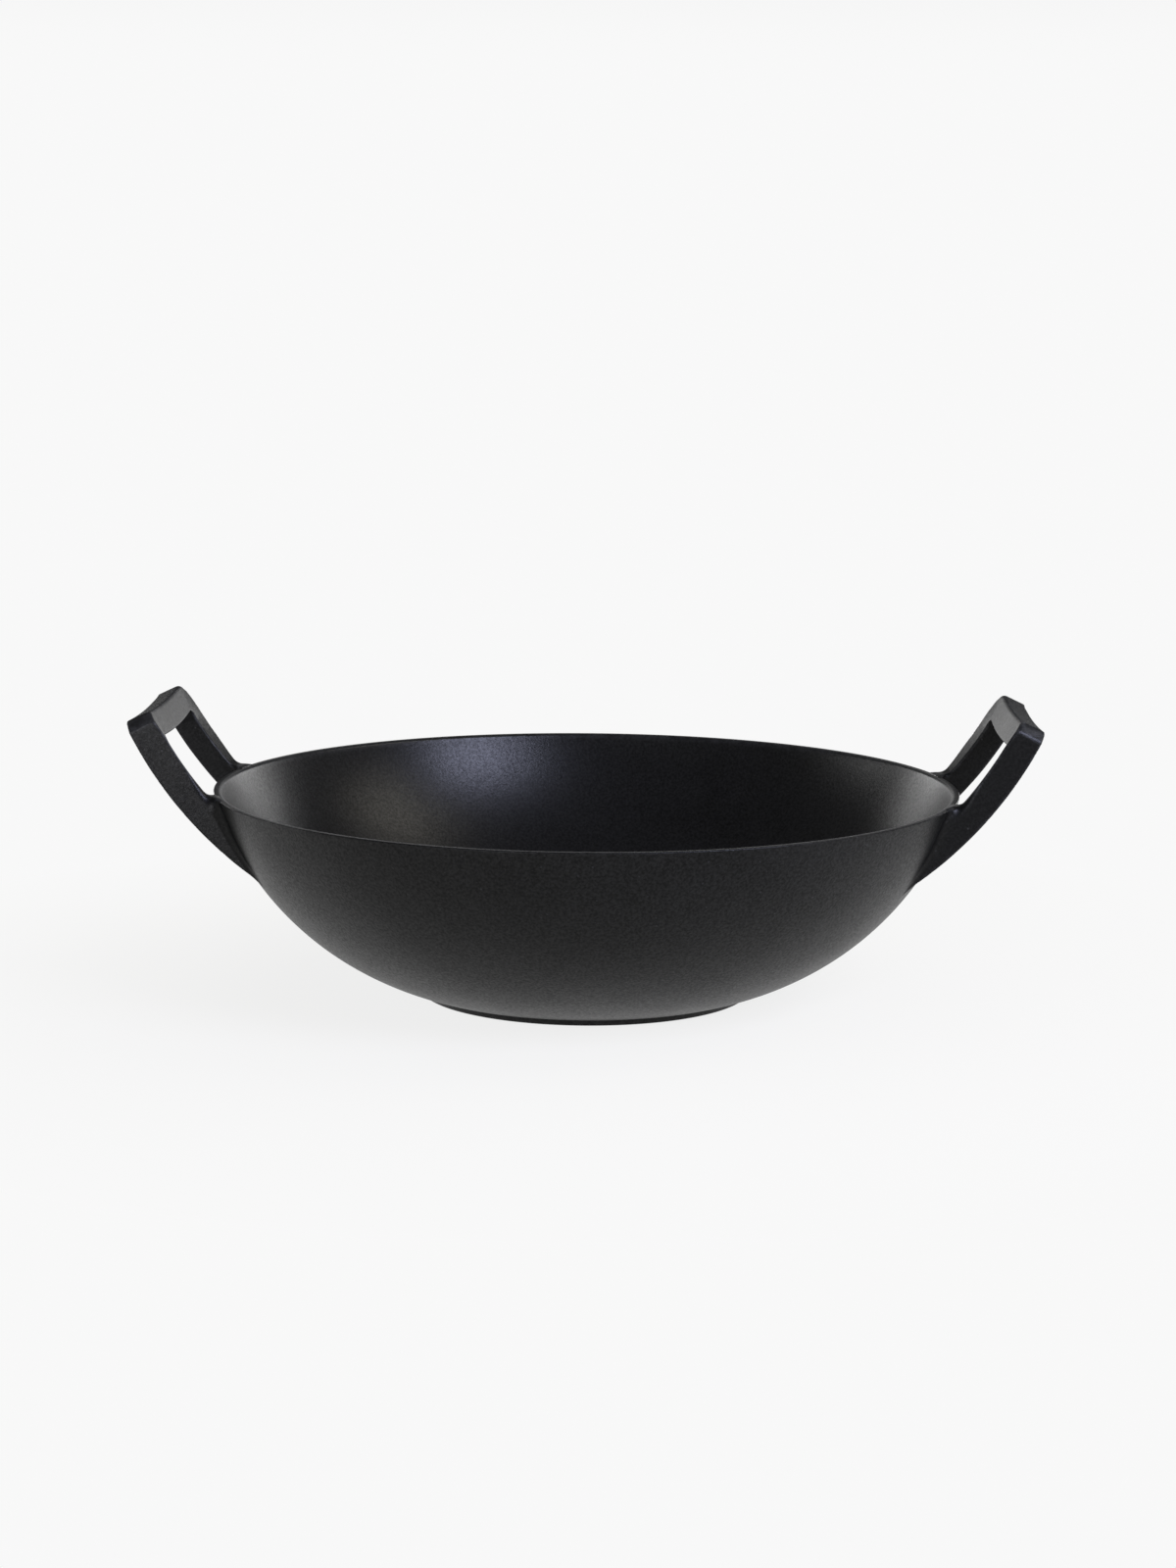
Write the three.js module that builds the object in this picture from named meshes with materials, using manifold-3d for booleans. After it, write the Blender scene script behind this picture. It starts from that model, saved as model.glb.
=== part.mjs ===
// A round cast iron wok with a low flat foot and two loop handles that rise from the rim.
// Millimetres, +Z up. The origin is the middle of the foot's underside, and the handles lie along X.
// The wok is one casting. Its nodes are divided along the lines where one form of the casting meets the next.

import * as THREE from 'three';
import { mergeVertices } from 'three/addons/utils/BufferGeometryUtils.js';
import Module from 'manifold-3d';

const wasm = await Module();
wasm.setup();

// Bowl
const RIM_DIAMETER = 356;
const RIM_HEIGHT = 99;
const RIM_EDGE = 1.2;
const WALL_THICKNESS = 3.6;
const WALL_ARC_RADIUS = 140.6;
const FLOOR_HEIGHT = 5.5;
const FLOOR_BLEND = 14;

// Foot
const FOOT_DIAMETER = 158.4;
const FOOT_HEIGHT = 3.4;
const FOOT_DRAFT = 0.8;
const FOOT_STEP = 2.7;

// Loop handles: the side view follows an arc that leans out from the rim
const HANDLE_REACH = 34.6;
const HANDLE_RISE = 35.5;
const HANDLE_LEAN = THREE.MathUtils.degToRad(25.5);
const SWEEP_RADIUS = 186;
const HANDLE_WIDTH = 108.8;
const SPLAY = THREE.MathUtils.degToRad(3);

// Arms of a handle
const ARM_DEPTH = 13.4;
const ARM_THICKNESS = 10;
const ARM_EDGE = 0.8;
const INNER_DRAFT = 2.2;
const OUTER_DRAFT = 0.6;
const ROOT_FILLET = 16;
const ROOT_COVE = 8;
const ROOT_LENGTH = 130;

// Ears at the tips of the arms
const EAR_DEPTH = 11.2;
const EAR_BEVEL_INSET = 3.8;
const EAR_BEVEL_DROP = 6.5;

// Grip between the ears
const GRIP_DEPTH = 11;
const GRIP_HEIGHT = 13.5;
const GRIP_EDGE = 2;
const SADDLE_DIP = 2.2;

// Width of the seam where two forms of the casting are divided
const SEAM = 0.3;

// Fineness of the facets
const ROUND_SIDES = 80;
const PROFILE_STEPS = 7;
const ARM_STEPS = 14;
const FILLET_STEPS = 6;
const COVE_ROWS = 10;
const COVE_STEPS = 4;
const GRIP_STEPS = 12;
const EDGE_STEPS = 3;
const MERGE_TOLERANCE = 1e-4;

const rimRadius = RIM_DIAMETER / 2;
const footTopRadius = FOOT_DIAMETER / 2 + FOOT_DRAFT;
const wallCentre = arcCentre(
  new THREE.Vector2(footTopRadius + FOOT_STEP, FOOT_HEIGHT),
  new THREE.Vector2(rimRadius, RIM_HEIGHT),
  WALL_ARC_RADIUS,
);
const sweepCentre = new THREE.Vector2(
  rimRadius + HANDLE_REACH - SWEEP_RADIUS * Math.cos(HANDLE_LEAN),
  RIM_HEIGHT + HANDLE_RISE + SWEEP_RADIUS * Math.sin(HANDLE_LEAN),
);

// Centre of the arc of a given radius that sags below the chord from one point up to another.
function arcCentre(from, to, radius) {
  const chord = to.clone().sub(from);
  const middle = from.clone().add(to).multiplyScalar(0.5);
  const above = new THREE.Vector2(-chord.y, chord.x).normalize();
  return middle.addScaledVector(above, Math.sqrt(radius ** 2 - chord.lengthSq() / 4));
}

// Angle, from the outward direction, at which an arc about the wall's centre passes a height.
function wallAngle(radius, height) {
  return Math.asin((height - wallCentre.y) / radius);
}

// Distance from the bowl's axis at which an arc about the wall's centre passes a height.
function wallReach(radius, height) {
  return wallCentre.x + radius * Math.cos(wallAngle(radius, height));
}

// Adds the part of an arc about the wall's centre that lies between two heights.
function addWallArc(path, radius, fromHeight, toHeight) {
  const clockwise = toHeight < fromHeight;
  const from = wallAngle(radius, fromHeight);
  const to = wallAngle(radius, toHeight);
  path.absarc(wallCentre.x, wallCentre.y, radius, from, to, clockwise);
}

// Body of revolution about Z whose profile runs from the axis at its underside to the axis at its top.
function revolve(path) {
  const geometry = new THREE.LatheGeometry(path.getPoints(PROFILE_STEPS), ROUND_SIDES);
  return geometry.rotateX(Math.PI / 2);
}

function bowlGeometry() {
  const innerRadius = WALL_ARC_RADIUS - WALL_THICKNESS;
  const edgeHeight = RIM_HEIGHT - RIM_EDGE;
  const mouthRadius = wallReach(innerRadius, RIM_HEIGHT);
  const footAngle = wallAngle(WALL_ARC_RADIUS, FOOT_HEIGHT);
  const blendHeight = wallCentre.y + innerRadius * Math.sin(footAngle);
  const slope = (blendHeight - FLOOR_HEIGHT) * Math.tan(footAngle);
  const floorRadius = wallReach(innerRadius, blendHeight) + slope;
  const path = new THREE.Path().moveTo(0, FOOT_HEIGHT);
  path.lineTo(wallReach(WALL_ARC_RADIUS, FOOT_HEIGHT), FOOT_HEIGHT);
  addWallArc(path, WALL_ARC_RADIUS, FOOT_HEIGHT, edgeHeight);
  path.quadraticCurveTo(rimRadius, RIM_HEIGHT, rimRadius - RIM_EDGE, RIM_HEIGHT);
  path.lineTo(mouthRadius + RIM_EDGE, RIM_HEIGHT);
  path.quadraticCurveTo(mouthRadius, RIM_HEIGHT, wallReach(innerRadius, edgeHeight), edgeHeight);
  addWallArc(path, innerRadius, edgeHeight, blendHeight);
  path.quadraticCurveTo(floorRadius, FLOOR_HEIGHT, floorRadius - FLOOR_BLEND, FLOOR_HEIGHT);
  path.lineTo(0, FLOOR_HEIGHT);
  return revolve(path);
}

function footGeometry() {
  const path = new THREE.Path().moveTo(0, 0);
  path.lineTo(FOOT_DIAMETER / 2, 0);
  path.lineTo(footTopRadius, FOOT_HEIGHT);
  path.lineTo(0, FOOT_HEIGHT);
  return revolve(path);
}

// Everything inside the outside of the bowl and above it, with the seam, which the arms stop at.
function bowlSpace() {
  const outside = WALL_ARC_RADIUS + SEAM;
  const path = new THREE.Path().moveTo(0, FOOT_HEIGHT);
  path.lineTo(wallReach(outside, FOOT_HEIGHT), FOOT_HEIGHT);
  addWallArc(path, outside, FOOT_HEIGHT, RIM_HEIGHT);
  path.lineTo(wallReach(outside, RIM_HEIGHT), RIM_HEIGHT + HANDLE_RISE);
  path.lineTo(0, RIM_HEIGHT + HANDLE_RISE);
  return revolve(path);
}

// Point of a handle's side view, inward from its outer edge and down along its sweep from the tip.
function sweepPoint(inward, down) {
  const angle = HANDLE_LEAN + down / SWEEP_RADIUS;
  const spoke = new THREE.Vector2(Math.cos(angle), -Math.sin(angle));
  return sweepCentre.clone().addScaledVector(spoke, SWEEP_RADIUS - inward);
}

// Distance of a handle's outer face from its middle plane at a height.
function halfWidth(height) {
  return HANDLE_WIDTH / 2 - (height - RIM_HEIGHT) * Math.tan(SPLAY);
}

// Depth of an arm at a distance down from its tip: the ear leans back over the height of the grip.
function armDepth(down) {
  return THREE.MathUtils.lerp(EAR_DEPTH, ARM_DEPTH, Math.min(down / GRIP_HEIGHT, 1));
}

// Side view of an arm, from its buried root up the outer edge, over the ear and down to the rim. It is
// cut off at a drop from the tip and drawn in by an inset and by a share of the draft, which the inner
// side gains over the height of the grip.
function armOutline({ drop, draft, inset }) {
  const outer = OUTER_DRAFT * draft + inset;
  const inner = INNER_DRAFT * draft + inset;
  const tipInner = INNER_DRAFT * draft * Math.min(drop / GRIP_HEIGHT, 1) + inset;
  const filletSpoke = SWEEP_RADIUS - ARM_DEPTH - ROOT_FILLET;
  const filletHeight = RIM_HEIGHT + ROOT_FILLET;
  const filletAngle = Math.asin((sweepCentre.y - filletHeight) / filletSpoke);
  const filletReach = sweepCentre.x + filletSpoke * Math.cos(filletAngle);
  const filletDown = (filletAngle - HANDLE_LEAN) * SWEEP_RADIUS;
  const buriedReach = sweepPoint(outer, ROOT_LENGTH).x;
  const points = [];
  for (let step = 0; step <= ARM_STEPS; step += 1) {
    const down = THREE.MathUtils.lerp(ROOT_LENGTH, drop, step / ARM_STEPS);
    points.push(sweepPoint(outer, down));
  }
  points.push(sweepPoint(armDepth(drop) - tipInner, drop));
  for (let step = 0; step < ARM_STEPS; step += 1) {
    const down = THREE.MathUtils.lerp(GRIP_HEIGHT, filletDown, step / ARM_STEPS);
    points.push(sweepPoint(ARM_DEPTH - inner, down));
  }
  for (let step = 0; step <= FILLET_STEPS; step += 1) {
    const angle = THREE.MathUtils.lerp(filletAngle, Math.PI / 2, step / FILLET_STEPS);
    const spoke = new THREE.Vector2(Math.cos(angle), -Math.sin(angle));
    points.push(new THREE.Vector2(filletReach, filletHeight).addScaledVector(spoke, ROOT_FILLET + inner));
  }
  points.push(new THREE.Vector2(buriedReach, RIM_HEIGHT - inner));
  return points;
}

// Closed body skinned over a row of outlines with equally many points that run counterclockwise
// in X and Z. The row runs towards +Y.
function skin(row) {
  const flat = row[0].map((point) => new THREE.Vector2(point.x, point.z));
  return loft(row, THREE.ShapeUtils.triangulateShape(flat, []));
}

// Closed body over a row of outlines with equally many points, with the triangles that close an end.
function loft(row, ends) {
  const count = row[0].length;
  const index = [];
  const last = (row.length - 1) * count;
  for (const [a, b, c] of ends) {
    index.push(a, b, c, last + a, last + c, last + b);
  }
  for (let place = 0; place < last; place += count) {
    for (let i = 0; i < count; i += 1) {
      const a = place + i;
      const b = place + (i + 1) % count;
      index.push(a, b + count, b, a, a + count, b + count);
    }
  }
  const geometry = new THREE.BufferGeometry().setFromPoints(row.flat());
  geometry.setIndex(index);
  return geometry;
}

// Arm on one side of a handle's middle plane: -1 is towards -Y and 1 is towards +Y.
function armGeometry(side) {
  const drafted = (across) => ({
    across,
    drop: EAR_BEVEL_DROP * Math.max(0, 1 - across / EAR_BEVEL_INSET),
    draft: across / ARM_THICKNESS,
    inset: 0,
  });
  const face = { across: 0, drop: EAR_BEVEL_DROP, draft: 0, inset: ARM_EDGE };
  const row = [face, drafted(ARM_EDGE), drafted(EAR_BEVEL_INSET), drafted(ARM_THICKNESS)];
  const outlines = row.map((place) => armOutline(place).map(
    (point) => new THREE.Vector3(point.x, side * (halfWidth(point.y) - place.across), point.y),
  ));
  const arm = solidOf(skin(side < 0 ? outlines : outlines.reverse()));
  const outerCove = coveSolid({ side, across: 0, outer: 0, away: 1 });
  const innerCove = coveSolid({ side, across: ARM_THICKNESS, outer: OUTER_DRAFT, away: -1 });
  return geometryOf(arm.add(outerCove).add(innerCove).subtract(solidOf(bowlSpace())));
}

// Place where a face of an arm meets the wall at a height: the point in side view, the direction
// that leaves the wall along the face, and the room up to the arm's outer edge in that direction.
function rootContact({ across, outer }, height) {
  const reach = wallReach(WALL_ARC_RADIUS, height);
  const y = halfWidth(height) - across;
  const point = new THREE.Vector2(Math.sqrt(reach ** 2 - y ** 2), height);
  const angle = wallAngle(WALL_ARC_RADIUS, height);
  const leave = new THREE.Vector2(Math.cos(angle) * point.x / reach, Math.sin(angle)).normalize();
  const spoke = point.clone().sub(sweepCentre);
  const along = spoke.dot(leave);
  const room = Math.sqrt(along ** 2 - spoke.lengthSq() + (SWEEP_RADIUS - outer) ** 2) - along;
  return { reach, y, point, leave, room };
}

// Height at which the lower edge of a face of an arm runs out on the wall.
function rootLow(face) {
  let low = FOOT_HEIGHT;
  let high = RIM_HEIGHT;
  while (high - low > MERGE_TOLERANCE) {
    const middle = (low + high) / 2;
    if (rootContact(face, middle).room > 0) {
      high = middle;
    } else {
      low = middle;
    }
  }
  return high;
}

// Hollow cove of iron in the corner between a face of an arm and the wall. It starts from nothing where
// the face's lower edge runs out, and is cut off level with the rim.
function coveSolid(face) {
  const { side, away } = face;
  const low = rootLow(face);
  const high = RIM_HEIGHT + ROOT_COVE;
  const row = [];
  for (let step = 1; step <= COVE_ROWS; step += 1) {
    const height = THREE.MathUtils.lerp(low, high, step / COVE_ROWS);
    const { reach, y, point, leave, room } = rootContact(face, height);
    const size = Math.min(ROOT_COVE, room / 2);
    const onWall = (distance, depth) => {
      const outward = y + away * distance;
      return new THREE.Vector3(Math.sqrt((reach - depth) ** 2 - outward ** 2), side * outward, height);
    };
    const top = point.clone().addScaledVector(leave, size);
    const onFace = new THREE.Vector3(top.x, side * (halfWidth(top.y) - face.across), top.y);
    const hollow = new THREE.QuadraticBezierCurve3(onFace, onWall(0, 0), onWall(size, 0));
    row.push([onWall(-ARM_EDGE, ARM_EDGE), ...hollow.getPoints(COVE_STEPS)]);
  }
  const ends = [];
  for (let i = 1; i <= COVE_STEPS; i += 1) {
    ends.push([0, i, i + 1]);
  }
  const cove = loft(side * away < 0 ? row : row.reverse(), ends);
  return solidOf(cove).trimByPlane([0, 0, -1], -RIM_HEIGHT);
}

// Section of the grip in the handle's side view, lowered by the dip of the saddle.
function gripSection(dip) {
  const top = dip;
  const bottom = dip + GRIP_HEIGHT;
  const edge = GRIP_EDGE;
  const path = new THREE.Path().moveTo(OUTER_DRAFT, bottom - edge);
  path.lineTo(OUTER_DRAFT, top + edge);
  path.quadraticCurveTo(OUTER_DRAFT, top, OUTER_DRAFT + edge, top);
  path.lineTo(EAR_DEPTH - edge, top);
  path.quadraticCurveTo(EAR_DEPTH, top, EAR_DEPTH, top + edge);
  path.lineTo(GRIP_DEPTH, bottom - edge);
  path.quadraticCurveTo(GRIP_DEPTH, bottom, GRIP_DEPTH - edge, bottom);
  path.lineTo(OUTER_DRAFT + edge, bottom);
  path.quadraticCurveTo(OUTER_DRAFT, bottom, OUTER_DRAFT, bottom - edge);
  return path.getPoints(EDGE_STEPS).slice(1).map((point) => sweepPoint(point.x, point.y));
}

// Grip that spans the gap between the arms, with a top that dips towards its middle.
function gripGeometry() {
  const outlines = [];
  for (let step = 0; step <= GRIP_STEPS; step += 1) {
    const across = THREE.MathUtils.lerp(-1, 1, step / GRIP_STEPS);
    const section = gripSection(SADDLE_DIP * (1 + Math.cos(Math.PI * across)) / 2);
    outlines.push(section.map(
      (point) => new THREE.Vector3(point.x, across * (halfWidth(point.y) - ARM_THICKNESS - SEAM), point.y),
    ));
  }
  return skin(outlines);
}

// Solid for a boolean, from the positions of a closed geometry.
function solidOf(geometry) {
  const bare = geometry.clone();
  bare.deleteAttribute('normal');
  bare.deleteAttribute('uv');
  const merged = mergeVertices(bare, MERGE_TOLERANCE);
  const triangles = [];
  for (let i = 0; i < merged.index.count; i += 3) {
    const corners = [merged.index.getX(i), merged.index.getX(i + 1), merged.index.getX(i + 2)];
    if (new Set(corners).size === 3) {
      triangles.push(...corners);
    }
  }
  return new wasm.Manifold(new wasm.Mesh({
    numProp: 3,
    vertProperties: new Float32Array(merged.attributes.position.array),
    triVerts: new Uint32Array(triangles),
  }));
}

// Geometry of a finished solid.
function geometryOf(solid) {
  const { vertProperties, triVerts } = solid.getMesh();
  const geometry = new THREE.BufferGeometry();
  geometry.setAttribute('position', new THREE.BufferAttribute(vertProperties, 3));
  geometry.setIndex(new THREE.BufferAttribute(triVerts, 1));
  return geometry;
}

// One named piece of the casting in matt black seasoned iron.
function casting(name, geometry) {
  geometry.computeVertexNormals();
  const iron = new THREE.MeshStandardMaterial({ color: 0x242426, roughness: 0.62, metalness: 0.35 });
  const mesh = new THREE.Mesh(geometry, iron);
  mesh.name = name;
  return mesh;
}

// Loop handle on one side of the bowl, turned about the bowl's axis to that side.
function loopHandle(name, turn) {
  const handle = new THREE.Group();
  const [front, rear] = turn === 0 ? [-1, 1] : [1, -1];
  handle.add(casting(`${name}_front_arm`, armGeometry(front)));
  handle.add(casting(`${name}_rear_arm`, armGeometry(rear)));
  handle.add(casting(`${name}_grip`, gripGeometry()));
  handle.rotation.z = turn;
  return handle;
}

const wok = new THREE.Group();
wok.add(casting('bowl', bowlGeometry()));
wok.add(casting('foot', footGeometry()));
wok.add(loopHandle('right_handle', 0));
wok.add(loopHandle('left_handle', Math.PI));

export default wok;
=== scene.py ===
"""A cast iron wok with two loop handles, on a pale floor in soft studio light.

Sizes are in millimetres until a surface goes into its mesh, which is in metres. The bowl's axis is Z,
and the handles lie along X.
"""

import logging
import math
from dataclasses import dataclass
from enum import Enum
from typing import Any

import bpy
import numpy as np
from mathutils import Matrix, Vector
from numpy.typing import NDArray


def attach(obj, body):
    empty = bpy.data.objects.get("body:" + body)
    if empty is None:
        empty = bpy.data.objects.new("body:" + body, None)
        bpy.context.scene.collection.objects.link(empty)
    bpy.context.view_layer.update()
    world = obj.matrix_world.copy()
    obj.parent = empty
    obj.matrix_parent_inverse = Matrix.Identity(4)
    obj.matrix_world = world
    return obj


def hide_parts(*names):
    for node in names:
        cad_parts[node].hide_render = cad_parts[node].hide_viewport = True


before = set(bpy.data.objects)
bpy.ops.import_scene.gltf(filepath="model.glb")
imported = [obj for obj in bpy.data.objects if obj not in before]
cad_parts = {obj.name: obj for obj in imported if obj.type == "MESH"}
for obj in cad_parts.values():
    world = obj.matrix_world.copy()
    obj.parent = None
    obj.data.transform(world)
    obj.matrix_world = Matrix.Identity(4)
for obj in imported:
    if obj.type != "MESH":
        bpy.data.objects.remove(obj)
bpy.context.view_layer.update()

Array = NDArray[np.float64]
Indices = NDArray[np.integer]
Colour = tuple[float, float, float]
Place = tuple[float, float, float]
Span = tuple[float, float]

LOG = logging.getLogger("wok")
MM = 0.001
TINY = 1e-9
BODY = "root"
# Attribute name of the paler colour for rubbed edges and for painted glints on the rim and ears.
WEAR_AND_GLINT = "edge"
MATT = "matt"
SWELL_SCALE = 0.3
SWELL_HEIGHT = 0.35
SPECK_RAGGEDNESS = 0.1
SPECK_REACH = 0.125
MOTTLE_SCALE = 0.8
MOTTLE_SPAN: Span = (0.36, 0.64)
FILM_SPAN: Span = (0.3, 0.7)
RUB_SCALE = 7.0
RUB_SPAN: Span = (0.42, 0.66)


class Turn(Enum):
    """Side of the bowl that a handle stands on, as the sign that turns X and Y."""

    RIGHT = 1.0
    LEFT = -1.0


class Zone(Enum):
    """Part of the bowl that has a finish of its own, as its material's place in the list."""

    OUTSIDE = 0
    COOKING = 1


def round_max(a: Array, b: Array, radius: Array | float) -> Array:
    """Joins two fields where both are negative, with a round outer edge.

    Formula: within a radius of both surfaces, the distance from the corner of the two fields drawn in by
    the radius, and elsewhere the larger field.

    Args:
        a: First field, in millimetres from its surface.
        b: Second field.
        radius: Radius of the edge.

    Returns:
        The joined field.
    """
    corner = np.hypot(np.maximum(radius + a, 0.0), np.maximum(radius + b, 0.0))
    return np.minimum(-radius, np.maximum(a, b)) + corner


def round_min(a: Array, b: Array, radius: Array | float) -> Array:
    """Joins two fields where either is negative, with a hollow fillet, as round_max does inside out."""
    return -round_max(-a, -b, radius)


def smooth_step(low: float, high: float, value: Array) -> Array:
    """Rises from 0 at low to 1 at high along a cubic that starts and ends level."""
    share = np.clip((value - low) / (high - low), 0.0, 1.0)
    return share * share * (3.0 - 2.0 * share)


@dataclass(frozen=True)
class Surface:
    """A closed skin of quads and triangles, in millimetres.

    Attributes:
        vertices: Points, one row each.
        quads: Corners of the four-sided faces.
        triangles: Corners of the three-sided faces.
        edge: How much each point takes the paler colour of rubbed edges and painted glints, from 0 to 1.
        zones: Place of each face's material, quads first.
        matt: How rough from the mould each point is left, from 0 to 1, or None where none is.
        normals: Outward direction at each point, or None to let the faces decide.
    """

    vertices: Array
    quads: Indices
    triangles: Indices
    edge: Array
    zones: Indices
    matt: Array | None = None
    normals: Array | None = None

    def to_piece(self, name: str, materials: list[bpy.types.Material]) -> bpy.types.Object:
        """Puts the skin into a mesh object that rides on the body.

        Args:
            name: Name of the piece.
            materials: Materials in the order of the zones.

        Returns:
            The object, at the origin.
        """
        mesh = bpy.data.meshes.new(name)
        faces = self.quads.tolist() + self.triangles.tolist()
        mesh.from_pydata((self.vertices * MM).tolist(), [], faces)
        mesh.polygons.foreach_set("use_smooth", np.ones(len(faces), bool))
        mesh.polygons.foreach_set("material_index", self.zones.astype(np.int32))
        matt = np.zeros_like(self.edge) if self.matt is None else self.matt
        for label, values in ((WEAR_AND_GLINT, self.edge), (MATT, matt)):
            share = mesh.attributes.new(label, "FLOAT", "POINT")
            share.data.foreach_set("value", values.astype(np.float32))
        for material in materials:
            mesh.materials.append(material)
        if self.normals is not None:
            mesh.normals_split_custom_set_from_vertices(self.normals.tolist())
        mesh.validate()
        mesh.update()
        piece = bpy.data.objects.new(name, mesh)
        bpy.context.scene.collection.objects.link(piece)
        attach(piece, BODY)
        return piece


def revolve(profile: Array, edge: Array, zones: Indices, sides: int) -> Surface:
    """Turns a profile about Z.

    Formula: the point at distance r and height z goes to (r cos a, r sin a, z) for evenly spaced
    angles a. The profile starts on the axis underneath and ends on the axis on top, and each end is one
    point.

    Args:
        profile: Distances from the axis and heights, one row for each point.
        edge: Share of the paler colour of rubbed edges and painted glints at each profile point.
        zones: Material place of each span of the profile.
        sides: Number of steps round the axis.

    Returns:
        The closed skin.
    """
    angle = np.linspace(0.0, 2.0 * np.pi, sides, endpoint=False)
    reach, height = profile[1:-1, :1], profile[1:-1, 1:]
    level = np.broadcast_to(height, (len(height), sides))
    rings = np.stack([reach * np.cos(angle), reach * np.sin(angle), level], axis=-1).reshape(-1, 3)
    poles = np.array([[0.0, 0.0, profile[0, 1]], [0.0, 0.0, profile[-1, 1]]])
    here = np.arange(sides)
    after = (here + 1) % sides
    start = np.arange(len(height) - 1)[:, None] * sides
    quads = np.stack([start + here, start + after, start + after + sides, start + here + sides], axis=-1)
    last = (len(height) - 1) * sides
    under = np.stack([np.full(sides, len(rings)), after, here], axis=-1)
    over = np.stack([last + here, last + after, np.full(sides, len(rings) + 1)], axis=-1)
    return Surface(
        vertices=np.concatenate([rings, poles]),
        quads=quads.reshape(-1, 4),
        triangles=np.concatenate([under, over]),
        edge=np.concatenate([np.repeat(edge[1:-1], sides), edge[[0, -1]]]),
        zones=np.concatenate([np.repeat(zones[1:-1], sides), np.repeat(zones[[0, -1]], sides)]),
    )


@dataclass(frozen=True)
class Wall:
    """Side view of the bowl's wall: an arc that rises from the foot and bows outwards to the rim."""

    rim_radius: float = 178.0
    rim_height: float = 99.0
    rim_edge: float = 0.7
    rim_inner_edge: float = 1.2
    thickness: float = 3.6
    arc_radius: float = 140.6
    foot_radius: float = 80.0
    foot_height: float = 3.4
    foot_step: float = 2.7

    @property
    def centre(self) -> tuple[float, float]:
        """Centre of the arc, above the chord from the foot to the rim.

        Returns:
            Its distance from the axis and its height.
        """
        low = (self.foot_radius + self.foot_step, self.foot_height)
        across, up = self.rim_radius - low[0], self.rim_height - low[1]
        chord = math.hypot(across, up)
        rise = math.sqrt(self.arc_radius**2 - chord**2 / 4.0) / chord
        return low[0] + across / 2.0 - up * rise, low[1] + up / 2.0 + across * rise

    def reach(self, inset: Array | float, height: Array | float) -> Array:
        """Distance from the axis at which the arc, drawn in by an inset, passes a height."""
        x, z = self.centre
        return x + np.sqrt((self.arc_radius - inset) ** 2 - (np.asarray(height) - z) ** 2)

    def depth(self, x: Array, y: Array, z: Array) -> Array:
        """Field that is the distance of a point outside the wall's outer face."""
        centre_x, centre_z = self.centre
        return np.hypot(np.hypot(x, y) - centre_x, z - centre_z) - self.arc_radius

    def capped(self, x: Array, y: Array, z: Array) -> Array:
        """Field of what lies inside the wall's outer face and below the rim's round edge."""
        return round_max(self.depth(x, y, z), z - self.rim_height, self.rim_edge)


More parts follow.
